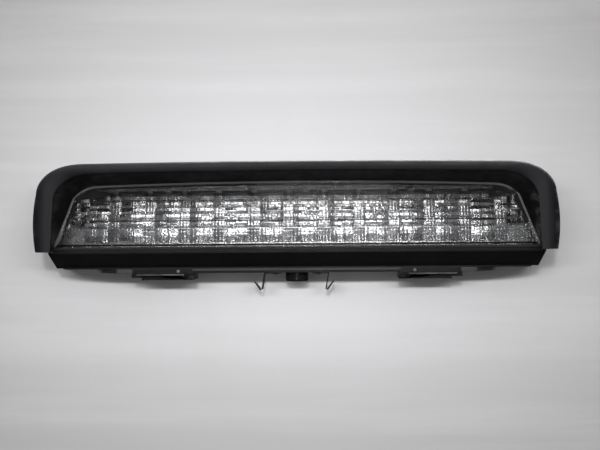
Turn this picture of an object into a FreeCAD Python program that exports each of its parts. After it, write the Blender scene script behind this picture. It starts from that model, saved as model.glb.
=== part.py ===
"""Third brake light for a parcel shelf, built as separate pieces, in millimetres.

The lamp stands as it is fitted: +Z up, the lens faces -Y and +X is on the right of someone
who looks at the lens. The origin is on the locating boss's axis, level with the feet's soles,
where the shelf panel's top surface is.
"""
import FreeCAD
import Part

import math
import os

doc = FreeCAD.newDocument("ThirdBrakeLight")
sheet = doc.addObject("Spreadsheet::Sheet", "Sizes")

# Driving dimensions, in millimetres, degrees or counts.
SIZES = {
    # Depths along Y, from the hood's lip to its back.
    "lip_front": -42.0,
    "shoulder_front": -37.5,
    "lens_front": -20.0,
    "hood_back": 18.4,
    # Hood.
    "hood_half": 180.0,
    "hood_top": 82.0,
    "hood_foot": 20.4,
    "hood_draft": 3.0,
    "hood_skin": 2.4,
    "hood_round": 5.0,
    "lip_half": 165.6,
    "lip_top": 74.7,
    "lip_land": 0.4,
    # Lens.
    "lens_half": 169.4,
    "lens_shoulder_half": 155.0,
    "lens_bottom": 21.9,
    "lens_shoulder": 57.0,
    "lens_top": 68.5,
    "lens_crown": 2.4,
    "lens_thick": 2.6,
    "lens_skirt": 4.0,
    "lens_seal": 0.8,
    # Housing.
    "housing_knee": -10.0,
    "housing_back": 14.0,
    "housing_wall": 2.2,
    "housing_margin": 1.5,
    "housing_taper": 18.0,
    "running_gap": 0.3,
    # Stepped reflector.
    "step_count": 4,
    "step_rise": 4.8,
    "step_run": 3.0,
    "step_drop": 1.6,
    "reflector_top": 60.2,
    "reflector_first_row": 55.8,
    "reflector_back": 4.0,
    "reflector_foot": 25.0,
    "reflector_skin": 1.8,
    # Board and what it carries.
    "board_length": 261.0,
    "board_width": 16.0,
    "board_thick": 1.6,
    "board_under": 62.4,
    "board_front": -8.0,
    "led_count": 11,
    "led_pitch": 24.6,
    "led_shift": -5.0,
    "led_side": 3.2,
    "led_height": 1.9,
    "led_place": -1.5,
    "resistor_count": 6,
    "resistor_length": 3.2,
    "resistor_width": 1.6,
    "resistor_height": 0.6,
    "board_screw_depth": 5.2,
    "board_screw_radius": 1.2,
    "board_screw_head": 2.5,
    "board_screw_head_height": 1.6,
    "board_post_radius": 3.0,
    # Tray under the lamp, with its mounting flange.
    "tray_half_top": 171.8,
    "tray_half_floor": 168.0,
    "tray_top": 20.0,
    "tray_brow": 19.0,
    "tray_floor": 8.6,
    "tray_lip_front": -23.0,
    "tray_heel_front": -12.5,
    "tray_back": 15.6,
    "tray_wall": 2.4,
    "strip_half": 168.6,
    "strip_top": 21.5,
    "strip_back": -20.1,
    "flange_half": 163.0,
    "flange_end_under": 8.0,
    "flange_bend_half": 137.0,
    "flange_bend_under": 5.4,
    "flange_flat_half": 116.0,
    "flange_under": 4.7,
    "flange_front": -14.5,
    "flange_back": 14.5,
    "slot_place": 134.0,
    "slot_length": 9.0,
    # Feet.
    "foot_place": 93.4,
    "foot_length": 44.0,
    "foot_front": -13.0,
    "foot_depth": 25.0,
    "foot_step": 7.0,
    "foot_step_under": 1.6,
    "foot_pocket_length": 27.0,
    "foot_pocket_under": 0.9,
    "foot_pocket_height": 1.9,
    "foot_lip_height": 0.9,
    "hook_reach": 2.0,
    "hook_place": 84.0,
    "hook_slant": 8.0,
    "hook_bar": 1.3,
    "hook_length": 4.6,
    "pin_place": 82.3,
    "pin_height": 6.2,
    "pin_radius": 1.1,
    "pin_length": 4.0,
    # Locating boss.
    "boss_radius": 8.0,
    "boss_under": -1.8,
    "boss_bore": 4.2,
    "boss_web": 2.4,
    # Spring clips.
    "clip_place": 22.5,
    "clip_thick": 1.0,
    "clip_width": 9.0,
    "clip_tip": -7.4,
    "clip_lean": -2.0,
    "clip_tab_inner": 11.0,
    "clip_fold_gap": 1.25,
    "clip_barb_reach": 5.4,
    "clip_barb_top": -1.7,
    "rivet_place": 15.4,
    "rivet_radius": 1.2,
    # Screws.
    "hood_screw_place": 166.0,
    "hood_screw_depth": 9.0,
    "housing_screw_place": 134.0,
    "housing_screw_depth": 3.0,
    "screw_radius": 1.5,
    "screw_head": 3.2,
    "screw_head_height": 2.0,
    "post_radius": 3.6,
    # Connector and the leads to it.
    "socket_place": 48.0,
    "socket_depth": 4.0,
    "socket_length": 19.0,
    "socket_width": 11.0,
    "socket_wall": 1.6,
    "socket_mouth": 5.0,
    "socket_roof": 19.0,
    "socket_collar": 2.0,
    "blade_pitch": 6.0,
    "blade_width": 2.8,
    "blade_thick": 0.8,
    "blade_under": 8.5,
    "blade_top": 27.0,
    "lead_radius": 0.7,
    "lead_depth": 7.1,
    # Vent in the housing's back.
    "vent_place": -60.0,
    "vent_height": 42.0,
    "vent_radius": 6.0,
    "vent_thick": 1.4,
}

for row, (alias, value) in enumerate(SIZES.items(), start=1):
    sheet.set(f"A{row}", alias)
    sheet.set(f"B{row}", str(value))
    sheet.setAlias(f"B{row}", alias)
doc.recompute()


def size(alias):
    """The value of one cell of the sheet, as a plain number."""
    return float(sheet.get(alias))


def vec(x, y, z):
    return FreeCAD.Vector(x, y, z)


nodes = []


def keep(piece, label):
    """Give a finished sub-part its label and put it on the list of pieces to export."""
    piece.Label = label
    nodes.append(piece)
    return piece


# Expressions name the sheet's cells with a leading dollar, which stands for "Sizes.".

def bound(piece, settings):
    """Bind properties of a piece to expressions over the sheet's cells."""
    for name, expression in settings.items():
        piece.setExpression(name, expression.replace("$", "Sizes."))
    return piece


def placed(piece, x, y, z):
    return bound(piece, {"Placement.Base.x": x, "Placement.Base.y": y, "Placement.Base.z": z})


def block(name, corner, sides):
    """A box whose low corner and sides are expressions."""
    piece = doc.addObject("Part::Box", name)
    bound(piece, dict(zip(("Length", "Width", "Height"), sides)))
    return placed(piece, *corner)


def rod(name, foot, radius, height, turn=None):
    """A cylinder whose foot, radius and height are expressions; turn is its rotation."""
    piece = doc.addObject("Part::Cylinder", name)
    if turn:
        piece.Placement = FreeCAD.Placement(vec(0, 0, 0), turn)
    bound(piece, {"Radius": radius, "Height": height})
    return placed(piece, *foot)


def cut(name, base, tools):
    """The base with all the tools taken away."""
    result = doc.addObject("Part::Cut", name)
    result.Base = base
    result.Tool = tools[0] if len(tools) == 1 else fused(name + "Tools", tools)
    return result


def fused(name, pieces):
    result = doc.addObject("Part::MultiFuse", name)
    result.Shapes = pieces
    return result


def grouped(name, pieces):
    """Several separate solids of one kind, kept as one sub-part."""
    result = doc.addObject("Part::Compound", name)
    result.Links = pieces
    return result


def solid(name, shape):
    """A sub-part whose free form comes from Part's own functions."""
    piece = doc.addObject("Part::Feature", name)
    piece.Shape = shape
    piece.Placement = FreeCAD.Placement()
    return piece


def drawn(name, role, outline):
    """A PartDesign body with a sketch of a closed outline on one of its origin planes."""
    body = doc.addObject("PartDesign::Body", name)
    sketch = body.newObject("Sketcher::SketchObject", name + "Outline")
    plane = next(feature for feature in body.Origin.OriginFeatures if feature.Role == role)
    sketch.AttachmentSupport = [(plane, "")]
    sketch.MapMode = "FlatFace"
    corners = [vec(across, up, 0) for across, up in outline]
    for start, end in zip(corners, corners[1:] + corners[:1]):
        sketch.addGeometry(Part.LineSegment(start, end), False)
    return body, sketch


def padded(name, role, outline, thickness):
    """A pad of an outline, half to each side of its plane."""
    body, sketch = drawn(name, role, outline)
    pad = body.newObject("PartDesign::Pad", name + "Pad")
    pad.Profile = sketch
    pad.Midplane = True
    bound(pad, {"Length": thickness})
    return body


def turned(name, profile, x, y, z):
    """A full revolution about Z of a (radius, height) profile, placed by expressions."""
    body, sketch = drawn(name, "XZ_Plane", profile)
    spin = body.newObject("PartDesign::Revolution", name + "Spin")
    spin.Profile = sketch
    spin.ReferenceAxis = (sketch, ["V_Axis"])
    spin.Angle = 360.0
    return placed(body, x, y, z)


def screw_profile(head, head_height, shank, length):
    """A pan-head screw that points up, its head's seat at height 0, with a drive recess below."""
    drive, drive_depth = head * 0.42, head_height * 0.55
    point = shank * 1.2
    return [
        (0, drive_depth - head_height), (drive, drive_depth - head_height),
        (drive, -head_height), (head * 0.8, -head_height), (head, -head_height * 0.45),
        (head, 0), (shank, 0), (shank, length - point), (shank * 0.3, length), (0, length),
    ]


# Outlines across the lamp. Each is a closed wire of six edges at one depth.

def arch(y, half_foot, foot, half_shoulder, shoulder, corner, crown_end, top, bulge):
    """Two sides, two rounded corners, a crowned top and a straight foot.

    corner is the (half width, height) that a rounded corner passes through, crown_end the
    (half width, height) where the crowned top starts, and bulge how far the sides bow out.
    """
    def side(sign):
        low, high = vec(sign * half_foot, y, foot), vec(sign * half_shoulder, y, shoulder)
        if not bulge:
            return Part.LineSegment(low, high).toShape()
        middle = (low + high) * 0.5 + vec(sign * bulge, 0, 0)
        return Part.Arc(low, middle, high).toShape()

    def rounded(sign):
        start = vec(sign * half_shoulder, y, shoulder)
        rise = start - vec(sign * half_foot, y, foot)
        rise.normalize()
        points = [start, vec(sign * corner[0], y, corner[1]), vec(sign * crown_end[0], y, crown_end[1])]
        curve = Part.BSplineCurve()
        curve.interpolate(Points=points, InitialTangent=rise, FinalTangent=vec(-sign, 0, 0.03))
        return curve.toShape()

    crown = Part.Arc(vec(crown_end[0], y, crown_end[1]), vec(0, y, top),
                     vec(-crown_end[0], y, crown_end[1])).toShape()
    base = Part.LineSegment(vec(-half_foot, y, foot), vec(half_foot, y, foot)).toShape()
    return Part.Wire(Part.__sortEdges__([side(1), rounded(1), crown, rounded(-1), side(-1), base]))


def outer_arch(y, inset=0.0, foot=None):
    """The hood's outside; inset moves it inwards."""
    half, top = size("hood_half") - inset, size("hood_top") - inset
    low = size("hood_foot") if foot is None else foot
    return arch(y, half - 1.6, low, half - 2.4, top - 21.5, (half - 8.9, top - 9.0),
                (half - 36.0, top - 1.0), top, 1.9)


def lip_arch(y, grow, foot):
    """The crease where the lip's front face meets the funnel; grow moves it outwards."""
    half, top = size("lip_half") + grow, size("lip_top") + grow
    return arch(y, half + 1.6, foot, half - 0.6, top - 19.0, (half - 7.5, top - 7.0),
                (half - 27.0, top - 1.2), top, 0.0)


def lens_arch(y, grow, narrow=0.0, foot=None):
    """The lens's trapezoid with rounded upper corners; narrow takes width only."""
    half = size("lens_half") + grow - narrow
    shoulder_half = size("lens_shoulder_half") + grow - narrow
    shoulder, top, bottom = size("lens_shoulder"), size("lens_top") + grow, size("lens_bottom")
    low = bottom - grow if foot is None else foot
    splay = (half - shoulder_half) / (shoulder - bottom)
    corner = (shoulder_half - 5.4, shoulder + 5.4 + grow / 2)
    return arch(y, half + splay * (bottom - low), low, shoulder_half, shoulder, corner,
                (shoulder_half - 17.0, top - size("lens_crown")), top, 0.0)


def loft(*wires):
    return Part.makeLoft(list(wires), True, True)


def drum(wire, depth):
    """A solid made by pushing a closed outline along Y."""
    return Part.Face(wire).extrude(vec(0, depth, 0))


# Hood: one moulding with a rounded lip, a funnel down to the lens and a closed back.

def ring_edges(shape, depth):
    """The edges that lie in the plane across Y at one depth, above the hood's foot."""
    def chosen(edge):
        extent = edge.BoundBox
        flat = abs(extent.YMin - depth) < 0.01 and abs(extent.YMax - depth) < 0.01
        return flat and extent.ZMax > size("hood_foot") + 0.1

    return [edge for edge in shape.Edges if chosen(edge)]


def make_hood():
    skin, draft = size("hood_skin"), size("hood_draft")
    lip, shoulder, back = size("lip_front"), size("shoulder_front"), size("hood_back")
    lens_front, under = size("lens_front"), size("hood_foot") - 4.0
    shell = loft(outer_arch(back, draft), outer_arch(shoulder))
    brow = loft(outer_arch(shoulder), lip_arch(lip, size("lip_land"), size("hood_foot")))
    shell = shell.fuse(brow).removeSplitter()
    for depth in (shoulder, back):
        shell = shell.makeFillet(size("hood_round"), ring_edges(shell, depth))

    rear, front = outer_arch(back - skin, draft + skin, under), outer_arch(shoulder + skin, skin + 1.0, under)
    behind_funnel = loft(lip_arch(lip, skin, under), lens_arch(lens_front, skin, foot=under))
    cavity = loft(rear, front).cut(behind_funnel)
    funnel = loft(lip_arch(lip, 0.0, under), lens_arch(lens_front, 0.0, foot=under))
    hood = shell.cut(cavity).cut(funnel)

    for sign in (-1, 1):
        foot = vec(sign * size("hood_screw_place"), size("hood_screw_depth"), size("hood_foot"))
        post = Part.makeCylinder(size("post_radius"), 52.0, foot).common(shell)
        hood = hood.fuse(post).cut(Part.makeCylinder(size("screw_radius"), 14.0, foot))
    return hood


keep(solid("Hood", make_hood()), "hood")


# Lens: a clear plate with a skirt behind its edge, bonded to the housing's rim.

def make_lens():
    margin, gap = size("housing_margin"), size("running_gap")
    front = size("lens_front") + gap
    back = front + size("lens_thick")
    inner = margin - size("housing_wall") - gap
    plate = drum(lens_arch(front, margin), size("lens_thick"))
    skirt = drum(lens_arch(back, inner), size("lens_skirt"))
    hollow = drum(lens_arch(back, inner - 1.4), size("lens_skirt"))
    return plate.fuse(skirt.cut(hollow)).removeSplitter()


lens_back = size("lens_front") + size("running_gap") + size("lens_thick")
housing_front = lens_back + size("lens_seal")
keep(solid("Lens", make_lens()), "lens")

bead_edge = size("housing_margin") - 0.2
bead_outside = drum(lens_arch(lens_back, bead_edge), size("lens_seal"))
bead_inside = drum(lens_arch(lens_back, bead_edge - size("housing_wall")), size("lens_seal"))
keep(solid("LensSeal", bead_outside.cut(bead_inside)), "lens_seal")


# Housing: a tub behind the lens that narrows towards its back.

def tub(grow, back):
    """The housing's form, shrunk or grown, from its rim to one depth."""
    knee = size("housing_knee")
    narrow = size("housing_taper") * (back - knee) / (size("housing_back") - knee)
    straight = drum(lens_arch(housing_front, grow), knee - housing_front)
    return straight.fuse(loft(lens_arch(knee, grow), lens_arch(back, grow, narrow)))


def screw_places():
    """Where the board's screws stand along X, in the gaps between lamps."""
    gaps = (-3.5, 0.5, 3.5)
    return [size("led_shift") + gap * size("led_pitch") for gap in gaps]


def make_housing():
    wall, margin = size("housing_wall"), size("housing_margin")
    outside = tub(margin, size("housing_back"))
    housing = outside.cut(tub(margin - wall, size("housing_back") - wall))
    foot = size("lens_bottom") - margin
    for sign in (-1, 1):
        seat = vec(sign * size("housing_screw_place"), size("housing_screw_depth"), foot)
        housing = housing.fuse(Part.makeCylinder(size("post_radius"), 9.0, seat))
        housing = housing.cut(Part.makeCylinder(size("screw_radius"), 7.0, seat))
    board_top = size("board_under") + size("board_thick")
    for x in screw_places():
        seat = vec(x, size("board_screw_depth"), board_top)
        post = Part.makeCylinder(size("board_post_radius"), 6.0, seat).common(outside)
        housing = housing.fuse(post).cut(Part.makeCylinder(size("board_screw_radius"), 3.0, seat))
    gap = size("running_gap")
    length, width = size("socket_length") + 2 * gap, size("socket_width") + 2 * gap
    corner = vec(size("socket_place") - length / 2, size("socket_depth") - width / 2, foot - 1.0)
    housing = housing.cut(Part.makeBox(length, width, wall + 2.0, corner))
    vent = vec(size("vent_place"), size("housing_back") - wall - 1.0, size("vent_height"))
    return housing.cut(Part.makeCylinder(size("vent_radius") / 2, wall + 2.0, vent, vec(0, 1, 0)))


keep(solid("Housing", make_housing()), "housing")
along_y = FreeCAD.Rotation(vec(0, 0, 1), vec(0, 1, 0))
vent_seat = ("$vent_place", "$housing_back", "$vent_height")
vent_cap = rod("VentCap", vent_seat, "$vent_radius", "$vent_thick", along_y)
keep(vent_cap, "vent_cap")


# Reflector: a bright staircase that climbs from the front foot to the back of the board.

def staircase():
    """The front face's (depth, height) points, from the top to the foot."""
    y, z = size("reflector_back"), size("reflector_top")
    run, rise, drop = size("step_run"), size("step_rise"), size("step_drop")
    points = [(y, z)]
    y, z = y - run * 0.6, size("reflector_first_row")
    points += [(y, z + drop / 2), (y, z)]
    for _ in range(int(size("step_count"))):
        points += [(y - run, z - rise + drop), (y - run, z - rise)]
        y, z = y - run, z - rise
    points.append((y - run * 0.7, size("reflector_foot")))
    return points


front_face = staircase()
back_face = [(y + size("reflector_skin"), z) for y, z in reversed(front_face)]
stairs, stairs_sketch = drawn("Stairs", "YZ_Plane", front_face + back_face)
stairs_pad = stairs.newObject("PartDesign::Pad", "StairsPad")
stairs_pad.Profile = stairs_sketch
stairs_pad.Midplane = True
bound(stairs_pad, {"Length": "2 * $lens_half"})
clearance = size("housing_margin") - size("housing_wall") - 0.5
chamber = solid("Chamber", tub(clearance, size("housing_back") - size("housing_wall") - 0.5))
reflector = doc.addObject("Part::Common", "Reflector")
reflector.Base = stairs
reflector.Tool = chamber
keep(reflector, "reflector")


# Board with its downward lamps, resistors, diode and capacitor.

board_plate = block("BoardPlate", ("-$board_length / 2", "$board_front", "$board_under"),
                    ("$board_length", "$board_width", "$board_thick"))
board_holes = []
board_screws = []
board_screw = screw_profile(size("board_screw_head"), size("board_screw_head_height"),
                            size("board_screw_radius"), size("board_thick") + 2.8)
for index, x in enumerate(screw_places()):
    spot = (str(x), "$board_screw_depth")
    board_holes.append(rod(f"BoardHole{index}", (*spot, "$board_under - 1"), "$board_screw_radius + 0.2",
                           "$board_thick + 2"))
    board_screws.append(turned(f"BoardScrew{index}", board_screw, *spot, "$board_under"))
keep(cut("Board", board_plate, board_holes), "led_board")
keep(grouped("BoardScrews", board_screws), "board_screws")

leds = []
for index in range(int(size("led_count"))):
    steps = index - (int(size("led_count")) - 1) / 2
    corner = (f"$led_shift + {steps} * $led_pitch - $led_side / 2", "$led_place - $led_side / 2",
              "$board_under - $led_height")
    leds.append(block(f"Led{index}", corner, ("$led_side", "$led_side", "$led_height")))
keep(grouped("Leds", leds), "leds")

resistors = []
for index in range(int(size("resistor_count"))):
    steps = index - (int(size("resistor_count")) - 1) / 2
    corner = (f"{steps} * 1.5 * $led_pitch", "$board_front + 3", "$board_under + $board_thick")
    sides = ("$resistor_length", "$resistor_width", "$resistor_height")
    resistors.append(block(f"Resistor{index}", corner, sides))
keep(grouped("Resistors", resistors), "resistors")
diode = block("Diode", ("$socket_place - 12", "0", "$board_under + $board_thick"), ("4.5", "2.6", "2.1"))
keep(diode, "protection_diode")
capacitor_seat = ("$socket_place - 22", "0", "$board_under + $board_thick")
capacitor = block("Capacitor", capacitor_seat, ("3.5", "2.8", "1.9"))
keep(capacitor, "capacitor")


# Tray: the base moulding under the lamp, with a lip strip, a sloped front and a mounting flange.

def rectangle(z, half, front, back):
    corners = [vec(-half, front, z), vec(half, front, z), vec(half, back, z), vec(-half, back, z)]
    return Part.makePolygon(corners + corners[:1])


def make_flange():
    """A flat plate whose ends sweep up to thin tips."""
    floor = size("tray_floor")
    under, bend, tip = size("flange_under"), size("flange_bend_under"), size("flange_end_under")
    flat, bend_half, half = size("flange_flat_half"), size("flange_bend_half"), size("flange_half")
    front = size("flange_front")

    def sweep(sign):
        return Part.Arc(vec(sign * flat, front, under), vec(sign * bend_half, front, bend),
                        vec(sign * half, front, tip)).toShape()

    flat_line = Part.LineSegment(vec(-flat, front, under), vec(flat, front, under)).toShape()
    rim = Part.makePolygon([vec(half, front, tip), vec(half, front, floor + 0.4),
                            vec(-half, front, floor + 0.4), vec(-half, front, tip)])
    outline = Part.Wire(Part.__sortEdges__([sweep(1), sweep(-1), flat_line] + rim.Edges))
    return drum(outline, size("flange_back") - front)


def make_tray():
    wall, brow, floor, top = size("tray_wall"), size("tray_brow"), size("tray_floor"), size("tray_top")
    half_top, half_floor, back = size("tray_half_top"), size("tray_half_floor"), size("tray_back")
    lip, heel = size("tray_lip_front"), size("tray_heel_front")
    outside = loft(rectangle(floor, half_floor, heel, back), rectangle(brow, half_top, lip, back))
    outside = outside.fuse(Part.makeBox(2 * half_top, back - lip, top - brow, vec(-half_top, lip, brow)))
    hollow = loft(rectangle(floor + wall, half_floor - wall + 0.8, heel + wall - 1.8, back - wall),
                  rectangle(top + 1.0, half_top - wall, lip + wall + 1.2, back - wall))
    strip_half, strip_top, strip_back = size("strip_half"), size("strip_top"), size("strip_back")
    strip = Part.makeBox(2 * strip_half, strip_back - lip, strip_top - brow, vec(-strip_half, lip, brow))
    front_top = [edge for edge in strip.Edges
                 if abs(edge.BoundBox.ZMin - strip_top) < 0.01 and abs(edge.BoundBox.YMax - lip) < 0.01]
    strip = strip.makeFillet(1.0, front_top)
    tray = outside.cut(hollow).fuse(strip).fuse(make_flange())

    posts = [("hood_screw_place", "hood_screw_depth"), ("housing_screw_place", "housing_screw_depth")]
    for along, depth in posts:
        for sign in (-1, 1):
            x, y = sign * size(along), size(depth)
            post = Part.makeCylinder(size("post_radius"), top - floor, vec(x, y, floor))
            tray = tray.fuse(post.common(outside))
            tray = tray.cut(Part.makeCylinder(size("screw_radius") + 0.2, 30.0, vec(x, y, 0.0)))
            tray = tray.cut(Part.makeCylinder(size("screw_head") + 0.4, floor + 2.0, vec(x, y, 0.0)))

    gap = size("running_gap")
    length, width = size("socket_length") + 2 * gap, size("socket_width") + 2 * gap
    corner = vec(size("socket_place") - length / 2, size("socket_depth") - width / 2, 0.0)
    tray = tray.cut(Part.makeBox(length, width, top, corner))
    tray = tray.cut(Part.makeCylinder(size("screw_radius"), 20.0, vec(0, 0, 0)))
    for sign in (-1, 1):
        slot = vec(sign * size("slot_place") - size("slot_length") / 2, size("flange_front") - 1.0, 6.4)
        tray = tray.cut(Part.makeBox(size("slot_length"), 3.0, 1.3, slot))
        pin = vec(sign * size("pin_place"), size("flange_front"), size("pin_height"))
        tray = tray.cut(Part.makeCylinder(size("pin_radius"), size("pin_length") - 0.9, pin, vec(0, 1, 0)))
        rivet = vec(sign * size("rivet_place"), 0, 0)
        tray = tray.cut(Part.makeCylinder(size("rivet_radius"), 12.0, rivet))
    return tray.removeSplitter()


keep(solid("Tray", make_tray()), "base_tray")


# Feet: stepped pads under the flange, each with a pocket, a lip and a slanted retaining hook.

def make_foot(name, sign):
    low_x = f"{sign} * $foot_place - $foot_length / 2"
    step_x = low_x if sign < 0 else f"{low_x} + $foot_length - $foot_step"
    pad = block(name + "Pad", (low_x, "$foot_front", "0"), ("$foot_length", "$foot_depth", "$flange_under"))
    step = block(name + "Step", (step_x, "$foot_front - 1", "-1"),
                 ("$foot_step", "$foot_depth + 2", "$foot_step_under + 1"))
    pocket_x = f"{sign} * ($foot_place + 3) - $foot_pocket_length / 2"
    pocket = block(name + "Pocket", (pocket_x, "$foot_front - 1", "$foot_pocket_under"),
                   ("$foot_pocket_length", "3", "$foot_pocket_height"))
    lip = block(name + "Lip", (pocket_x, "$foot_front - 1.4", "$foot_pocket_under + $foot_pocket_height"),
                ("$foot_pocket_length", "2", "$foot_lip_height"))
    top, place, slant = size("flange_under"), size("hook_place"), size("hook_slant")
    bar, length, foot = size("hook_bar"), size("hook_length"), 0.4
    lean = slant / (top - foot)

    def slanted(x, z):
        """A point on the hook; x is how far along its bar, leaning inwards as it goes down."""
        return (sign * (place - x - lean * (top - z)), z)

    outline = [slanted(0, top), slanted(length, top), slanted(length, foot), slanted(0, foot)]
    notch = [slanted(bar, top - bar * 0.8), slanted(length - bar, top - bar * 0.8),
             slanted(length - bar, foot + bar * 0.8), slanted(bar, foot + bar * 0.8)]
    hook = padded(name + "Hook", "XZ_Plane", outline, "2 * $hook_reach")
    window = padded(name + "Notch", "XZ_Plane", notch, "4 * $hook_reach")
    for piece in (hook, window):
        placed(piece, "0", "$foot_front", "0")
    body = fused(name + "Solid", [cut(name + "Blank", pad, [step, pocket]), lip, hook])
    return cut(name, body, [window])


keep(make_foot("FootLeft", -1), "foot_left")
keep(make_foot("FootRight", 1), "foot_right")
pins = [rod(f"FootPin{index}", (f"{sign} * $pin_place", "$flange_front - 0.9", "$pin_height"),
            "$pin_radius", "$pin_length", along_y) for index, sign in enumerate((-1, 1))]
keep(grouped("FootPins", pins), "foot_pins")


# Locating boss, held up against the flange by its own screw.

boss_radius, boss_under = size("boss_radius"), size("boss_under")
boss_profile = [
    (size("screw_radius") + 0.2, size("boss_web")), (size("boss_bore"), size("boss_web")),
    (size("boss_bore"), boss_under), (boss_radius - 0.8, boss_under), (boss_radius, boss_under + 0.8),
    (boss_radius, size("flange_under")), (size("screw_radius") + 0.2, size("flange_under")),
]
keep(turned("Boss", boss_profile, "0", "0", "0"), "locating_boss")
boss_screw = screw_profile(size("screw_head"), size("screw_head_height"), size("screw_radius"), 11.0)
keep(turned("BossScrew", boss_screw, "0", "0", "$boss_web"), "boss_screw")


# Spring clips: a riveted tab, a stem that leans a little and a barb hinged at the fold.

def make_clip(name, sign):
    half, lean = size("clip_thick") / 2, size("clip_lean")
    top, tip = size("flange_under"), size("clip_tip")
    inner, stem = sign * size("clip_tab_inner"), sign * size("clip_place")
    outline = [
        (inner, top), (stem + sign * half, top), (stem + lean + sign * half, tip),
        (stem + lean - sign * half, tip), (stem - sign * half, top - 2 * half), (inner, top - 2 * half),
    ]
    strip = padded(name + "Strip", "XZ_Plane", outline, "$clip_width")
    hole = rod(name + "Hole", (f"{sign} * $rivet_place", "0", "$flange_under - 2"), "$rivet_radius", "3")
    keep(cut(name, strip, [hole]), f"clip_stem_{'left' if sign < 0 else 'right'}")

    fold_x = stem + lean + sign * size("clip_fold_gap")
    end_x = stem + lean + sign * size("clip_barb_reach")
    rise = size("clip_barb_top") - tip
    length = math.hypot(end_x - fold_x, rise)
    across = (half * rise / length, half * (end_x - fold_x) / length)
    barb = [
        (fold_x + across[0], tip - across[1]), (end_x + across[0], tip + rise - across[1]),
        (end_x - across[0], tip + rise + across[1]), (fold_x - across[0], tip + across[1]),
    ]
    leaf = padded(name + "Leaf", "XZ_Plane", barb, "$clip_width")
    knuckle = rod(name + "Knuckle", (str(fold_x), "-$clip_width / 2", "$clip_tip"), "$clip_thick / 2 + 0.1",
                  "$clip_width", along_y)
    keep(fused(name + "Barb", [leaf, knuckle]), f"clip_barb_{'left' if sign < 0 else 'right'}")


make_clip("ClipLeft", -1)
make_clip("ClipRight", 1)
rivet_radius = size("rivet_radius")
rivet_profile = [(0, -0.9), (1.4, -0.8), (2.3, 0), (rivet_radius, 0), (rivet_radius, 5.6), (0, 5.6)]
rivet_seat = "$flange_under - $clip_thick"
rivets = [turned(f"Rivet{index}", rivet_profile, f"{sign} * $rivet_place", "0", rivet_seat)
          for index, sign in enumerate((-1, 1))]
keep(grouped("Rivets", rivets), "clip_rivets")


# Screws that come up through the tray into the hood and into the housing.

def screw_pair(name, along, depth, grip, label):
    profile = screw_profile(size("screw_head"), size("screw_head_height"), size("screw_radius"), grip)
    seat = "$tray_floor + 2"
    pair = [turned(f"{name}{index}", profile, f"{sign} * {along}", depth, seat)
            for index, sign in enumerate((-1, 1))]
    keep(grouped(name, pair), label)


screw_pair("HoodScrew", "$hood_screw_place", "$hood_screw_depth", 21.0, "hood_screws")
screw_pair("HousingScrew", "$housing_screw_place", "$housing_screw_depth", 15.0, "housing_screws")


# Connector: a socket through the tray and the housing's floor, two blades and two leads.

housing_floor = "$lens_bottom - $housing_margin + $housing_wall"
shroud_corner = ("$socket_place - $socket_length / 2", "$socket_depth - $socket_width / 2", "$socket_mouth")
shroud_sides = ("$socket_length", "$socket_width", housing_floor + " - $socket_mouth")
shroud = block("Shroud", shroud_corner, shroud_sides)
collar = block("Collar", ("$socket_place - $socket_length / 2 - $socket_collar",
                          "$socket_depth - $socket_width / 2 - $socket_collar / 2", housing_floor),
               ("$socket_length + 2 * $socket_collar", "$socket_width + $socket_collar", "1.6"))
well = block("Well", ("$socket_place - $socket_length / 2 + $socket_wall",
                      "$socket_depth - $socket_width / 2 + $socket_wall", "$socket_mouth - 1"),
             ("$socket_length - 2 * $socket_wall", "$socket_width - 2 * $socket_wall",
              "$socket_roof - $socket_mouth + 1"))
blade_slots = []
blades = []
leads = []
for index, sign in enumerate((-1, 1)):
    blade_x = f"$socket_place + {sign} * $blade_pitch / 2"
    corner = (f"{blade_x} - $blade_width / 2", "$socket_depth - $blade_thick / 2", "$blade_under")
    sides = ("$blade_width", "$blade_thick", "$blade_top - $blade_under")
    blades.append(block(f"Blade{index}", corner, sides))
    blade_slots.append(block(f"BladeSlot{index}", corner, sides))
    x = size("socket_place") + sign * size("blade_pitch") / 2
    top = vec(x, size("lead_depth"), size("board_under"))
    bend = vec(x, size("lead_depth"), size("blade_top") + 6.0)
    end = vec(x, size("socket_depth") + 0.6, size("blade_top") + 0.6)
    drop = Part.makeCylinder(size("lead_radius"), (top - bend).Length, top, bend - top)
    slope = Part.makeCylinder(size("lead_radius"), (end - bend).Length, bend, end - bend)
    leads.append(drop.fuse(slope).fuse(Part.makeSphere(size("lead_radius"), bend)).removeSplitter())
socket = cut("Socket", fused("SocketSolid", [shroud, collar]), [well] + blade_slots)
keep(socket, "connector_socket")
keep(grouped("Blades", blades), "terminal_blades")
keep(solid("Leads", Part.makeCompound(leads)), "board_leads")


# Every object has to be whole before anything is written.

doc.recompute()
failed = [piece.Label for piece in doc.Objects if "Invalid" in piece.State or "Error" in piece.State]
failed += [piece.Label for piece in nodes if piece.Shape.isNull() or not piece.Shape.isValid()]
if failed:
    raise RuntimeError("these did not build: " + ", ".join(failed))
os.makedirs("parts", exist_ok=True)
for piece in nodes:
    piece.Shape.exportStep(f"parts/{piece.Label}.step")
    print(f"{piece.Label:18s} {len(piece.Shape.Solids):2d} solids {piece.Shape.Volume:10.1f} mm3")
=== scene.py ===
"""Blender scene of the third brake light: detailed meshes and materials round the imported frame.

The axes are the frame's own: +Z up, the lens faces -Y. Outlines and mesh sizes are in millimetres and
become metres as vertices are made. Masks in materials, lights, the stage and the camera are in metres.
"""
import math
import random

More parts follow.
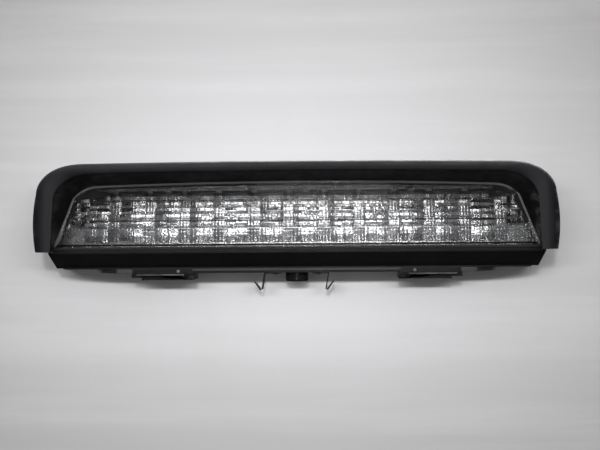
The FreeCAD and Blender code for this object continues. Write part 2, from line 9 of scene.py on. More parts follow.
import bmesh
import bpy
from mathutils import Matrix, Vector


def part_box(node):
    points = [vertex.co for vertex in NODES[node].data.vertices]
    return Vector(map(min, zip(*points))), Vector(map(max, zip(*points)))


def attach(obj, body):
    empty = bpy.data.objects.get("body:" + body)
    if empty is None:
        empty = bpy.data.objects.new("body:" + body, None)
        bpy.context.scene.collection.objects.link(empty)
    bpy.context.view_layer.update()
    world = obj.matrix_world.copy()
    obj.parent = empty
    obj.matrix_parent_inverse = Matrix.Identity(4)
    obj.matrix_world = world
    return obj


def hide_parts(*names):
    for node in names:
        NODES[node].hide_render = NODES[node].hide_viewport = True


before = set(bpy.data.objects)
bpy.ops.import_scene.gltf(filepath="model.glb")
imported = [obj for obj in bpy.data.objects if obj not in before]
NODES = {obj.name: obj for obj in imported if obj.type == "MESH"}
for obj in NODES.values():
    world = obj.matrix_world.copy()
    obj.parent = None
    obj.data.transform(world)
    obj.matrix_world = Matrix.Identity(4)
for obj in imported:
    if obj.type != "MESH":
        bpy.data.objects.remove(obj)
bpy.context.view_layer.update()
BODY = "lamp"
MM = 0.001

HOOD_LOW, HOOD_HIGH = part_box("hood")
LENS_LOW, LENS_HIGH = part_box("lens")


# ---------------------------------------------------------------- node materials

class Material:
    """A small helper that builds a node material round one Principled shader."""

    def __init__(self, name, color, roughness, metallic=0.0, **sockets):
        self.material = bpy.data.materials.new(name)
        self.material.use_nodes = True
        self.tree = self.material.node_tree
        self.shader = self.tree.nodes["Principled BSDF"]
        self.output = self.tree.nodes["Material Output"]
        self.shader.inputs["Base Color"].default_value = (*color, 1.0)
        self.shader.inputs["Roughness"].default_value = roughness
        self.shader.inputs["Metallic"].default_value = metallic
        for socket, value in sockets.items():
            self.shader.inputs[socket.replace("_", " ")].default_value = value
        self.place = self.node("ShaderNodeTexCoord").outputs["Object"]

    def node(self, kind, **settings):
        made = self.tree.nodes.new(kind)
        for key, value in settings.items():
            if key in made.inputs:
                made.inputs[key].default_value = value
            else:
                setattr(made, key, value)
        return made

    def link(self, source, target):
        self.tree.links.new(source, target)

    def scaled(self, x, y, z):
        """Object coordinates stretched along the axes."""
        mapping = self.node("ShaderNodeMapping", Scale=(x, y, z))
        self.link(self.place, mapping.inputs["Vector"])
        return mapping.outputs["Vector"]

    def split(self, source):
        """A vector's X, Y and Z sockets, by name."""
        parts = self.node("ShaderNodeSeparateXYZ")
        self.link(source, parts.inputs[0])
        return parts.outputs

    def noise(self, scale, detail=4.0, roughness=0.55, where=None):
        texture = self.node("ShaderNodeTexNoise", Scale=scale, Detail=detail, Roughness=roughness)
        self.link(where or self.place, texture.inputs["Vector"])
        return texture.outputs["Fac"]

    def cells(self, scale, where=None, feature="F1"):
        """Distance to the nearest of many scattered points."""
        texture = self.node("ShaderNodeTexVoronoi", Scale=scale, feature=feature)
        self.link(where or self.place, texture.inputs["Vector"])
        return texture.outputs["Distance"]

    def ranged(self, source, low, high, to_low=0.0, to_high=1.0):
        """The source's range from low to high stretched onto another range, and clamped there."""
        step = self.node("ShaderNodeMapRange")
        step.inputs["From Min"].default_value = low
        step.inputs["From Max"].default_value = high
        step.inputs["To Min"].default_value = to_low
        step.inputs["To Max"].default_value = to_high
        self.link(source, step.inputs["Value"])
        return step.outputs["Result"]

    def mixed(self, factor, first, second):
        """A colour mix; first and second are colours or sockets."""
        mix = self.node("ShaderNodeMix", data_type="RGBA")
        self.link(factor, mix.inputs[0])
        for value, socket in ((first, mix.inputs[6]), (second, mix.inputs[7])):
            if isinstance(value, tuple):
                socket.default_value = (*value, 1.0)
            else:
                self.link(value, socket)
        return mix.outputs[2]

    def calculated(self, operation, first, second=None):
        """A maths node; second is a number, a socket or left out."""
        step = self.node("ShaderNodeMath", operation=operation)
        self.link(first, step.inputs[0])
        if isinstance(second, float):
            step.inputs[1].default_value = second
        elif second is not None:
            self.link(second, step.inputs[1])
        return step.outputs[0]

    def times(self, first, second):
        return self.calculated("MULTIPLY", first, second)

    def absolute(self, source):
        return self.calculated("ABSOLUTE", source)

    def color(self, source):
        self.link(source, self.shader.inputs["Base Color"])

    def roughness(self, source):
        self.link(source, self.shader.inputs["Roughness"])

    def bump(self, source, strength, distance):
        bump = self.node("ShaderNodeBump", Strength=strength, Distance=distance)
        self.link(source, bump.inputs["Height"])
        self.link(bump.outputs["Normal"], self.shader.inputs["Normal"])

    def see_through(self, factor, tint=(1.0, 1.0, 1.0)):
        """Let light pass straight through, tinted, where the factor is 1."""
        clear = self.node("ShaderNodeBsdfTransparent", Color=(*tint, 1.0))
        mix = self.node("ShaderNodeMixShader")
        for source, socket in zip((factor, self.shader.outputs[0], clear.outputs[0]), mix.inputs):
            self.link(source, socket)
        self.link(mix.outputs[0], self.output.inputs["Surface"])


# Where painted masks start and end. Distances from the middle:
ARM_INNER, ARM_OUTER = (0.152, 0.166), (0.1695, 0.1755)
FLANGE_STEP = (0.098, 0.102)
FLANGE_SLOT, SLOT_REACH = 0.131, (0.0050, 0.0062)
REFLECTOR_END = (0.07, 0.15)
# Places across, along the depth and up:
RIGHTWARD_RAMP = (-0.05, 0.15)
LIP_ROUND, FOOT_LIP_FRONT = (-0.030, -0.037), (-0.0151, -0.0154)
FLANGE_TOP, FLANGE_LOW_MIDDLE, FLANGE_LOW_END = (0.0081, 0.0076), (0.0063, 0.0067), (0.0046, 0.0052)
FOOT_LIP_HEIGHT = (0.0033, 0.0036)
SEAL_TOP, SEAL_FOOT = (0.060, 0.066), (0.0245, 0.0235)


def dimmed(color, share):
    return tuple(part * share for part in color)


def grained_plastic(name, dark, light, roughness, grain=900.0, depth=0.00012, specular=0.35):
    """Moulded plastic: fine grain and soft mottling. look.base is the mottled colour."""
    look = Material(name, dark, roughness, Specular_IOR_Level=specular)
    look.base = look.mixed(look.ranged(look.noise(35.0, 6.0, 0.65), 0.35, 0.75), dark, light)
    look.color(look.base)
    look.roughness(look.ranged(look.noise(180.0, 5.0), 0.3, 0.7, roughness - 0.06, roughness + 0.1))
    look.bump(look.noise(grain, 3.0), 0.35, depth)
    return look


def hood_plastic():
    """Black satin plastic with dust specks; painted highlight, partly dust, on its upward faces and on the
    arms' front faces; pale streaks, partly scuffs and partly painted highlight, on its outer round edge;
    the plain dark base in the funnel.
    """
    look = grained_plastic("hood_plastic", dark=(0.0060, 0.0055, 0.0064), light=(0.0100, 0.0092, 0.0104),
                           roughness=0.46, specular=0.14)
    normal = look.split(look.node("ShaderNodeTexCoord").outputs["Normal"])
    place = look.split(look.place)
    away = look.absolute(place["X"])

    # Upward faces are lighter: partly dust, partly a painted highlight where the top catches the light.
    patches = look.noise(24.0, 6.0, 0.7, look.scaled(0.3, 1.0, 1.0))
    top_dust_and_highlight = look.times(look.ranged(normal["Z"], 0.15, 0.85), look.ranged(patches, 0.3, 0.7, 0.55, 1.0))
    topped = look.mixed(top_dust_and_highlight, look.base, (0.036, 0.034, 0.037))

    # The arms' forward-facing lip faces are lighter: a painted highlight.
    arm = look.times(look.ranged(away, *ARM_INNER), look.ranged(away, *ARM_OUTER, 1.0, 0.1))
    forward = look.times(look.ranged(normal["Y"], -0.70, -0.98), arm)
    with_arm_highlight = look.mixed(forward, topped, (0.024, 0.023, 0.025))

    # The outer round edge gets pale streaks, stronger towards +X: partly scuffs, partly a painted highlight
    # where the edge catches the light.
    facing = look.calculated("MAXIMUM", look.absolute(normal["X"]), normal["Z"])
    edge = look.times(look.ranged(facing, 0.45, 0.9), look.ranged(place["Y"], *LIP_ROUND))
    streaks = look.ranged(look.noise(60.0, 8.0, 0.7, look.scaled(0.35, 1.0, 2.6)), 0.46, 0.60)
    rightward = look.ranged(place["X"], *RIGHTWARD_RAMP, 0.3, 0.9)
    scuffs_and_highlight = look.mixed(look.times(edge, look.times(streaks, rightward)), with_arm_highlight, (0.075, 0.073, 0.075))

    dust = look.ranged(look.cells(420.0), 0.16, 0.05, 0.0, 0.4)
    sparse = look.ranged(look.noise(28.0, 4.0), 0.58, 0.68)
    look.color(look.mixed(look.times(dust, sparse), scuffs_and_highlight, (0.09, 0.09, 0.09)))
    return look.material


def base_plastic_look():
    """Hard, shiny black plastic, with a patchy grey painted highlight along the mounting flange, kept off
    its slots.
    """
    look = grained_plastic("base_plastic", dark=(0.0050, 0.0046, 0.0052), light=(0.0085, 0.0080, 0.0088),
                           roughness=0.34, grain=1300.0, depth=0.00007, specular=0.45)
    place = look.split(look.place)
    away = look.absolute(place["X"])
    # Painted highlight: the mounting flange is painted patchy grey where it catches the light, except in
    # its slots.
    middle = look.times(look.ranged(place["Z"], *FLANGE_LOW_MIDDLE), look.ranged(away, *FLANGE_STEP[::-1]))
    ends = look.times(look.ranged(place["Z"], *FLANGE_LOW_END), look.ranged(away, *FLANGE_STEP))
    flange = look.times(look.calculated("MAXIMUM", middle, ends), look.ranged(place["Z"], *FLANGE_TOP))
    from_slot = look.absolute(look.calculated("SUBTRACT", away, FLANGE_SLOT))
    patchy_highlight = look.ranged(look.noise(70.0, 6.0, 0.7, look.scaled(0.4, 1.0, 1.0)), 0.35, 0.6, 0.55, 0.95)
    grey = look.times(look.times(flange, patchy_highlight), look.ranged(from_slot, *SLOT_REACH))
    look.color(look.mixed(grey, look.base, (0.062, 0.060, 0.062)))
    return look.material


def foot_plastic_look():
    """The feet's black plastic, with a pale, patchy painted highlight along each narrow front lip."""
    look = grained_plastic("foot_plastic", dark=(0.0060, 0.0052, 0.0062), light=(0.0100, 0.0090, 0.0104),
                           roughness=0.30, grain=1300.0, depth=0.00007, specular=0.5)
    place = look.split(look.place)
    # Painted highlight: a pale line along the lip's slanted top, where it catches the light.
    lip = look.times(look.ranged(place["Z"], *FOOT_LIP_HEIGHT), look.ranged(place["Y"], *FOOT_LIP_FRONT))
    patchy_highlight = look.ranged(look.noise(150.0, 5.0), 0.35, 0.60, 0.35, 1.0)
    look.color(look.mixed(look.times(lip, patchy_highlight), look.base, (0.16, 0.155, 0.16)))
    return look.material


def seal_look():
    """Soft seal: mottled pale grey along the lens's slanted edges; painted shade makes it greyer over its
    top, under the hood, and dark at its foot, under the lens.
    """
    look = Material("seal", (0.15, 0.15, 0.15), 0.45)
    height = look.split(look.place)["Z"]
    pale = look.ranged(look.noise(300.0, 5.0), 0.35, 0.65)
    sides = look.mixed(pale, (0.13, 0.13, 0.13), (0.21, 0.21, 0.21))
    # Painted shade: greyer over the top, where the hood shades it, and dark at the foot, under the lens.
    top = look.mixed(look.ranged(height, *SEAL_TOP), sides, (0.075, 0.074, 0.074))
    look.color(look.mixed(look.ranged(height, *SEAL_FOOT), top, (0.03, 0.03, 0.03)))
    look.bump(look.noise(1500.0, 3.0), 0.3, 0.00005)
    return look.material


def bright_metal(name, dull, bright):
    """Vacuum-metallised plastic: finely stippled and unevenly bright, with painted shade darkening it
    towards its ends.
    """
    look = Material(name, bright, 0.2, metallic=1.0)
    uneven = look.mixed(look.ranged(look.noise(160.0, 6.0, 0.7), 0.35, 0.68), dull, bright)
    away = look.absolute(look.split(look.place)["X"])
    # Painted shade: the colour darkens towards the reflector's ends.
    look.color(look.mixed(look.ranged(away, *REFLECTOR_END, 0.0, 0.5), uneven, dimmed(dull, 0.5)))
    look.roughness(look.ranged(look.noise(260.0, 4.0), 0.3, 0.7, 0.06, 0.18))
    look.bump(look.cells(820.0), 0.4, 0.00022)
    return look.material


def clear_plastic():
    """Clear acrylic that lamps shine through, with hairline haze in its gloss."""
    look = Material("clear_lens", (0.96, 0.965, 0.97), 0.03, Transmission_Weight=1.0, IOR=1.46)
    look.roughness(look.ranged(look.noise(420.0, 6.0, 0.7), 0.45, 0.75, 0.02, 0.09))
    look.bump(look.noise(500.0, 5.0), 0.06, 0.00006)
    look.see_through(look.node("ShaderNodeLightPath").outputs["Is Shadow Ray"], (0.93, 0.935, 0.94))
    return look.material


def steel(name, color, roughness, brushed=(1.0, 1.0, 1.0)):
    """Metal with fine brush marks, darker blotches and uneven gloss."""
    look = Material(name, color, roughness, metallic=1.0)
    blotch = look.ranged(look.noise(220.0, 6.0, 0.7), 0.35, 0.7)
    look.color(look.mixed(blotch, dimmed(color, 0.72), color))
    marks = look.noise(900.0, 3.0, 0.6, look.scaled(*brushed))
    look.roughness(look.ranged(marks, 0.3, 0.7, roughness - 0.08, roughness + 0.14))
    look.bump(marks, 0.3, 0.00008)
    return look.material


def board_laminate():
    """Brown-black solder mask over a woven laminate, with a faint copper track pattern."""
    look = Material("led_board", (0.05, 0.046, 0.038), 0.38)
    tracks = look.cells(240.0, look.scaled(1.0, 2.2, 1.0), "SMOOTH_F1")
    look.color(look.mixed(look.ranged(tracks, 0.35, 0.42), (0.045, 0.041, 0.034), (0.085, 0.076, 0.060)))
    look.bump(look.noise(2400.0, 2.0), 0.3, 0.00004)
    return look.material


def small_part(name, dark, light, roughness):
    """A small moulded or potted component."""
    return grained_plastic(name, dark, light, roughness, depth=0.00006, specular=0.5).material


# ---------------------------------------------------------------- outlines and mesh tools

def bezier(p0, p1, p2, p3, share):
    keep = 1.0 - share
    return (p0 * keep ** 3 + p1 * 3 * keep ** 2 * share + p2 * 3 * keep * share ** 2 + p3 * share ** 3)


class Arch:
    """Half of an outline across the lamp: a side, a rounded corner and a crowned top.

    Points are (x, z). at(share) runs from the right foot at 0 over the top's middle at 0.5
    to the left foot at 1.
    """

    SIDE, CORNER = 0.16, 0.30

    def __init__(self, foot, shoulder, corner, crown_end, top, bulge=0.0):
        self.foot, self.shoulder, self.crown_end = Vector(foot), Vector(shoulder), Vector(crown_end)
        self.top, self.bulge = top, bulge
        rise = (self.shoulder - self.foot).normalized()
        reach_up = (8 * corner[1] - 4 * shoulder[1] - 4 * crown_end[1]) / 3
        reach_out = (8 * corner[0] - 4 * shoulder[0] - 4 * crown_end[0]) / 3
        self.first_handle = self.shoulder + rise * (reach_up / rise.y)
        self.second_handle = self.crown_end + Vector((reach_out, 0.0))

    def at(self, share):
        sign = 1.0 if share <= 0.5 else -1.0
        share = min(share, 1.0 - share)
        if share < self.SIDE:
            part = share / self.SIDE
            point = self.foot.lerp(self.shoulder, part)
            point.x += self.bulge * 4 * part * (1 - part)
        elif share < self.CORNER:
            part = (share - self.SIDE) / (self.CORNER - self.SIDE)
            point = bezier(self.shoulder, self.first_handle, self.second_handle, self.crown_end, part)
        else:
            part = (share - self.CORNER) / (0.5 - self.CORNER)
            x = self.crown_end.x * (1 - part)
            rise = (self.top - self.crown_end.y) * (1 - (x / self.crown_end.x) ** 2)
            point = Vector((x, self.crown_end.y + rise))
        return Vector((sign * point.x, point.y))


HOOD_FOOT = 20.4
OUTER_HALF, OUTER_TOP = 180.0, 82.0
LIP_HALF, LIP_TOP = 164.5, 74.7
LENS_HALF, LENS_SHOULDER_HALF = 169.4, 155.0
LENS_FOOT, LENS_SHOULDER, LENS_TOP = 21.9, 57.0, 68.5


def outer_arch(inset):
    """The hood's outside, drawn in by an inset."""
    half, top = OUTER_HALF - inset, OUTER_TOP - inset
    return Arch((half - 1.6, HOOD_FOOT), (half - 2.4, top - 21.5), (half - 8.9, top - 9.0),
                (half - 36.0, top - 1.0), top, 1.9)


def lip_arch(grow):
    """The opening inside the hood's lip, grown outwards."""
    half, top = LIP_HALF + grow, LIP_TOP + grow
    return Arch((half + 1.6, HOOD_FOOT), (half - 0.6, top - 19.0), (half - 7.5, top - 7.0),
                (half - 27.0, top - 1.2), top)


def lens_arch(grow, foot=None):
    """The lens's outline, grown outwards. Its slanted sides can run down to a foot of their own."""
    half, shoulder_half, top = LENS_HALF + grow, LENS_SHOULDER_HALF + grow, LENS_TOP + grow
    low = LENS_FOOT - grow if foot is None else foot
    splay = (half - shoulder_half) / (LENS_SHOULDER - LENS_FOOT)
    return Arch((half + splay * (LENS_FOOT - low), low), (shoulder_half, LENS_SHOULDER),
                (shoulder_half - 5.4, LENS_SHOULDER + 5.4 + grow / 2),
                (shoulder_half - 17.0, top - 2.4), top)


def arch_shares(side=14, corner=22, crown=44):
    """Shares of an arch, closer together round its corners."""
    marks = [Arch.SIDE * i / side for i in range(side)]
    marks += [Arch.SIDE + (Arch.CORNER - Arch.SIDE) * i / corner for i in range(corner)]
    marks += [Arch.CORNER + (0.5 - Arch.CORNER) * i / crown for i in range(crown)]
    return marks + [0.5] + [1.0 - mark for mark in reversed(marks)]


def row_points(arch, depth, shares):
    """One row of a swept surface: the arch at one depth, in metres."""
    points = [arch.at(share) for share in shares]
    return [Vector((point.x * MM, depth * MM, point.y * MM)) for point in points]


WELD = 1e-6
FLAT_ANGLE, EDGE_ANGLE = 1.0, 28.0
BEVEL_SEGMENTS = 2


def object_from(name, builder, smooth_angle):
    """A piece from a bmesh, welded, with outward normals and smooth shading up to an angle."""
    bmesh.ops.remove_doubles(builder, verts=builder.verts, dist=WELD)
    bmesh.ops.recalc_face_normals(builder, faces=builder.faces)
    mesh = bpy.data.meshes.new(name)
    builder.to_mesh(mesh)
    builder.free()
    mesh.polygons.foreach_set("use_smooth", [True] * len(mesh.polygons))
    mesh.set_sharp_from_angle(angle=math.radians(smooth_angle))
    piece = bpy.data.objects.new(name, mesh)
    bpy.context.scene.collection.objects.link(piece)
    return piece


def finished(piece, material, body=BODY, replaces=()):
    """Give a piece its material, the body it rides on and the nodes it stands for."""
    piece.data.materials.clear()
    piece.data.materials.append(material)
    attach(piece, body)
    if replaces:
        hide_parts(*replaces)


def strip_faces(builder, first, second):
    """Quads between two rows of vertices."""
    for a, b, c, d in zip(first, first[1:], second[1:], second):
        builder.faces.new((a, b, c, d))


def sheet_faces(builder, rows):
    """Quads between each row of vertices and the next."""
    for first, second in zip(rows, rows[1:]):
        strip_faces(builder, first, second)


def tube_faces(builder, first, second):
    """Quads between two closed loops of vertices."""
    strip_faces(builder, first + first[:1], second + second[:1])


def solid_faces(builder, loops):
    """A closed solid through loops of vertices, capped at both ends."""
    for first, second in zip(loops, loops[1:]):
        tube_faces(builder, first, second)
    builder.faces.new(loops[0])
    builder.faces.new(loops[-1])


def round_loop(builder, centre, radius, z, sides):
    """A level circle of vertices."""
    turns = [2 * math.pi * i / sides for i in range(sides)]
    return [builder.verts.new(((centre[0] + radius * math.cos(turn)) * MM,
                               (centre[1] + radius * math.sin(turn)) * MM, z * MM)) for turn in turns]


def bevelled(node, width):
    """A copy of a CAD node with its flat faces joined again and its sharp edges rounded."""
    builder = bmesh.new()
    builder.from_mesh(NODES[node].data)
    bmesh.ops.remove_doubles(builder, verts=builder.verts, dist=WELD)
    bmesh.ops.dissolve_limit(builder, angle_limit=math.radians(FLAT_ANGLE), verts=builder.verts,
                             edges=builder.edges)
    piece = object_from(node + "_shown", builder, EDGE_ANGLE)
    bevel = piece.modifiers.new("edges", "BEVEL")
    bevel.width = width * MM
    bevel.segments = BEVEL_SEGMENTS
    bevel.limit_method = "ANGLE"
    bevel.angle_limit = math.radians(EDGE_ANGLE)
    bevel.harden_normals = True
    return piece


# ---------------------------------------------------------------- hood

# Depths of the lip's front, the end of its round, the lens's edge and the back.
LIP, SHOULDER, LENS_FRONT, BACK = -42.0, -37.5, -20.0, 18.4
# The wall, the sides' draft, the rounds, the lip's flat land and the funnel's end behind it.
SKIN, DRAFT, ROUND, LAND, RECESS = 2.4, 3.0, 5.0, 0.4, 0.35
FUNNEL_ROWS, BROW_ROWS, TOP_ROWS, REAR_ROWS = 8, 16, 12, 8
POST_X, POST_Y, POST_LOW, POST_HIGH = 166.0, 9.0, 20.5, 66.0
POST_RADIUS, BORE_RADIUS, BORE_DEPTH, POST_SIDES = 3.6, 1.5, 14.0, 28


def brow_point(edge, top, end, part):
    """A point of the lip's round, which swells forward between its front edge and its top."""
    ahead = edge.lerp(top, 0.62)
    ahead.y = edge.y + 0.6 * MM
    shoulder = edge.lerp(top, 0.99)
    shoulder.y = top.y - 0.8 * MM
    return bezier(edge, ahead, shoulder, end, part)


def hood_rows(shares):
    """Rows of the hood's visible skin, from the lens's edge over the lip to the back."""
    inner = row_points(lens_arch(0.0, HOOD_FOOT), LENS_FRONT, shares)
    outer = row_points(lip_arch(0.0), LIP + RECESS, shares)
    rows = [[a.lerp(b, i / FUNNEL_ROWS) for a, b in zip(inner, outer)] for i in range(FUNNEL_ROWS + 1)]
    for part in (0.35, 0.7, 1.0):
        rows.append(row_points(lip_arch(LAND * part), LIP + RECESS * (1 - part) ** 2, shares))
    brow = row_points(lip_arch(LAND), LIP, shares)
    crest = row_points(outer_arch(0.0), SHOULDER, shares)
    rear = row_points(outer_arch(DRAFT), BACK, shares)
    inner_rear = row_points(outer_arch(DRAFT + ROUND), BACK, shares)
    reach = ROUND / (BACK - SHOULDER)
    for i in range(1, BROW_ROWS + 1):
        rows.append([brow_point(edge, top, top.lerp(far, reach), i / BROW_ROWS)
                     for edge, top, far in zip(brow, crest, rear)])
    for i in range(1, TOP_ROWS + 1):
        part = reach + (1 - 2 * reach) * i / TOP_ROWS
        rows.append([top.lerp(far, part) for top, far in zip(crest, rear)])
    for i in range(1, REAR_ROWS + 1):
        part = i / REAR_ROWS
        rows.append([top.lerp(far, 1 - reach).lerp(far, part).lerp(far.lerp(inside, part), part)
                     for top, far, inside in zip(crest, rear, inner_rear)])
    return rows


def make_hood(material):
    """The hood as one closed shell, open at the lens, and the posts for its two long screws."""
    shares = arch_shares()
    builder = bmesh.new()
    outside = [[builder.verts.new(point) for point in row] for row in hood_rows(shares)]
    sheet_faces(builder, outside)
    builder.faces.new(outside[-1])
    inside = [
        row_points(lens_arch(SKIN, HOOD_FOOT), LENS_FRONT, shares),
        row_points(lip_arch(SKIN), SHOULDER + SKIN, shares),
        row_points(outer_arch(SKIN + 1.0), SHOULDER + SKIN, shares),
        row_points(outer_arch(DRAFT + SKIN), BACK - SKIN, shares),
    ]
    inside = [[builder.verts.new(point) for point in row] for row in inside]
    sheet_faces(builder, inside)
    builder.faces.new(inside[-1])
    strip_faces(builder, outside[0], inside[0])
    for end in (0, -1):
        builder.faces.new([row[end] for row in outside] + [row[end] for row in reversed(inside)])
    builder.faces.new((outside[-1][0], outside[-1][-1], inside[-1][-1], inside[-1][0]))
    section = [(POST_RADIUS, POST_HIGH), (POST_RADIUS, POST_LOW), (BORE_RADIUS, POST_LOW),
               (BORE_RADIUS, POST_LOW + BORE_DEPTH)]
    for sign in (-1, 1):
        solid_faces(builder, [round_loop(builder, (sign * POST_X, POST_Y), radius, z, POST_SIDES)
                              for radius, z in section])
    finished(object_from("hood_shown", builder, 40.0), material, replaces=["hood"])


# ---------------------------------------------------------------- lens

PLATE_FRONT, PLATE_BACK, SKIRT_BACK = LENS_LOW.y / MM, LENS_LOW.y / MM + 2.6, LENS_HIGH.y / MM
FRAME_INSET = -1.6
FLOOR_STEPS = 60
OPTIC, OPTIC_STEPS, PILLOW = 2.05, 4, 0.14
HALF_SHARES = [i / 900 for i in range(451)]


def make_lens_frame(material):
    """The lens's rim: a raised rounded border in front and a skirt behind, swept round the lens."""
    bead = [(-0.1 - 0.7 * (1 - math.cos(turn)), PLATE_FRONT - 0.28 * math.sin(turn))
            for turn in [math.pi * i / 8 for i in range(9)]]
    contours = [(1.5, PLATE_BACK), (1.5, PLATE_FRONT + 0.4), (1.1, PLATE_FRONT)] + bead
    contours += [(FRAME_INSET, PLATE_FRONT), (FRAME_INSET, PLATE_BACK), (FRAME_INSET, SKIRT_BACK),
                 (-0.6, SKIRT_BACK), (-0.6, PLATE_BACK)]
    shares = arch_shares()
    builder = bmesh.new()
    loops = []
    for grow, depth in contours:
        points = row_points(lens_arch(grow), depth, shares)
        floor = [points[-1].lerp(points[0], i / FLOOR_STEPS) for i in range(1, FLOOR_STEPS)]
        loops.append([builder.verts.new(point) for point in points + floor])
    for first, second in zip(loops, loops[1:] + loops[:1]):
        tube_faces(builder, first, second)
    finished(object_from("lens_shown", builder, 40.0), material, replaces=["lens"])


def contour_top(arch, x):
    """The arch's height at a distance from the middle."""
    reach = abs(x)
    last = arch.at(0.0)
    for share in HALF_SHARES:
        point = arch.at(share)
        if (last.x - reach) * (point.x - reach) <= 0 and last.x != point.x:
            part = (last.x - reach) / (last.x - point.x)
            return last.y + (point.y - last.y) * part
        last = point
    return arch.foot.y if reach > arch.foot.x else arch.top


def make_lens_window(material):
    """The clear window inside the rim: flat in front, with rows of small pillow optics behind."""
    edge = lens_arch(FRAME_INSET)
    half, low = edge.foot.x, edge.foot.y
    columns = int(2 * half / OPTIC * OPTIC_STEPS)
    rows = int((edge.top - low) / OPTIC * OPTIC_STEPS) + 1
    front, back = [], []
    for i in range(columns + 1):
        x = -half + 2 * half * i / columns
        top = contour_top(edge, x)
        for j in range(rows + 1):
            z = min(low + j * OPTIC / OPTIC_STEPS, top)
            pillow = abs(math.sin(math.pi * x / OPTIC) * math.sin(math.pi * (z - low) / OPTIC))
            front.append((x * MM, PLATE_FRONT * MM, z * MM))
            back.append((x * MM, (PLATE_BACK + PILLOW * math.sqrt(pillow)) * MM, z * MM))
    size = len(front)
    faces = []
    for i in range(columns):
        for j in range(rows):
            a, b = i * (rows + 1) + j, (i + 1) * (rows + 1) + j
            faces.append((a, b, b + 1, a + 1))
            faces.append((size + a, size + a + 1, size + b + 1, size + b))
        a, b = i * (rows + 1), (i + 1) * (rows + 1)
        faces.append((a, size + a, size + b, b))
        faces.append((a + rows, b + rows, size + b + rows, size + a + rows))
    for a in (0, columns * (rows + 1)):
        for j in range(rows):
            faces.append((a + j, a + j + 1, size + a + j + 1, size + a + j))
    mesh = bpy.data.meshes.new("window")
    mesh.from_pydata(front + back, [], faces)
    builder = bmesh.new()
    builder.from_mesh(mesh)
    bmesh.ops.remove_doubles(builder, verts=builder.verts, dist=WELD)
    bmesh.ops.dissolve_degenerate(builder, edges=builder.edges, dist=WELD)
    finished(object_from("lens_window", builder, 30.0), material)


# ---------------------------------------------------------------- reflector

# The foot of each row of tiles, from the top row down, as (height, depth).
ROW_FEET = [(55.8, 2.2), (51.0, -0.8), (46.2, -3.8), (41.4, -6.8), (36.6, -9.8), (26.2, -11.6)]
ROW_TOP, LAST_ROW = 61.4, len(ROW_FEET) - 1
LED_PLACE, LED_PITCH, LED_COUNT = -5.0, 24.6, 11
TILE, TILE_GAP, TILE_BACK = LED_PITCH / 3, 0.12, 1.5
FIRST_COLUMN = LED_PLACE - LED_PITCH * (LED_COUNT - 1) / 2 - 2.5 * TILE
COLUMNS = 36
LEFT_OF_LAMP, UNDER_LAMP = 0, 1
CHAMBER_FRONT, CHAMBER_GAP = -10.0, 1.4
TAPER_IN, TAPER_DEPTH = 18.0, 24.0
METAL_ANGLE = 32.0


def reflector_half(z, y):
    """How far the chamber reaches to each side at a height and depth."""
    slant_in = (z - LENS_FOOT) * (LENS_HALF - LENS_SHOULDER_HALF) / (LENS_SHOULDER - LENS_FOOT)
    half = LENS_HALF - slant_in - CHAMBER_GAP
    if z > LENS_SHOULDER:
        half -= 0.30 * (z - LENS_SHOULDER) ** 2
    return half - max(0.0, y - CHAMBER_FRONT) * TAPER_IN / TAPER_DEPTH


def upright(left, right, low, high, depth):
    """Corners of an upright rectangle, for a tile."""
    return [(left, depth, low), (right, depth, low), (right, depth, high), (left, depth, high)]


def add_tile(builder, corners, back, swell, tilt, grid, recede=0.0, ripple=0.0, waves=3.0):
    """A tile with a curved front, whose sides run back to a depth.

    Corners run low left, low right, high right, high left. swell and tilt are (across, up), recede
    moves the top back, and ripple and waves are the height and the closeness of its waves.
    """
    low_left, low_right, high_right, high_left = [Vector(corner) for corner in corners]
    rows = []
    for j in range(grid + 1):
        v = j / grid
        row = []
        for i in range(grid + 1):
            u = i / grid
            place = low_left.lerp(low_right, u).lerp(high_left.lerp(high_right, u), v)
            place.y -= swell[0] * (1 - (2 * u - 1) ** 2) + swell[1] * (1 - (2 * v - 1) ** 2)
            place.y += recede * v * v + tilt[0] * (u - 0.5) + tilt[1] * (v - 0.5)
            place.y += ripple * math.sin(waves * math.pi * (u + v)) * math.sin(waves * math.pi * (u - v))
            row.append(builder.verts.new(place * MM))
        rows.append(row)
    sheet_faces(builder, rows)
    rim = rows[0] + [row[-1] for row in rows[1:]] + rows[-1][-2::-1] + [row[0] for row in rows[-2:0:-1]]
    behind = [builder.verts.new((vert.co.x, back * MM, vert.co.z)) for vert in rim]
    tube_faces(builder, rim, behind)
    builder.faces.new(behind)


def tile_shape(kind, draw, row):
    """The curves of one tile: those under a lamp are rippled, those beside it lean towards it."""
    if kind == UNDER_LAMP and row == 0:
        return {"swell": (0.75, 0.75), "recede": 0.9, "tilt": (0.0, 0.2), "grid": 12}
    if kind == UNDER_LAMP:
        return {"swell": (0.10, 0.0), "recede": 0.6, "ripple": 0.07 + 0.03 * draw.random(), "waves": 3.6,
                "tilt": (draw.uniform(-0.25, 0.25), draw.uniform(-0.1, 0.3)), "grid": 16}
    lean = 0.28 if kind == LEFT_OF_LAMP else -0.28
    if row == LAST_ROW:
        return {"swell": (0.20, 0.26), "recede": 0.95, "ripple": 0.045 + 0.03 * draw.random(), "waves": 3.2,
                "tilt": (lean + draw.uniform(-0.35, 0.35), draw.uniform(0.1, 0.8)), "grid": 16}
    return {"swell": (0.15, 0.12), "recede": 0.60, "ripple": 0.028, "waves": 2.6,
            "tilt": (lean + draw.uniform(-0.22, 0.22), draw.uniform(-0.2, 0.40)), "grid": 12}


def row_bounds():
    """Each row's (foot, top, depth of its foot)."""
    tops = [ROW_TOP] + [foot for foot, _ in ROW_FEET[:-1]]
    return [(foot, top, depth) for (foot, depth), top in zip(ROW_FEET, tops)]


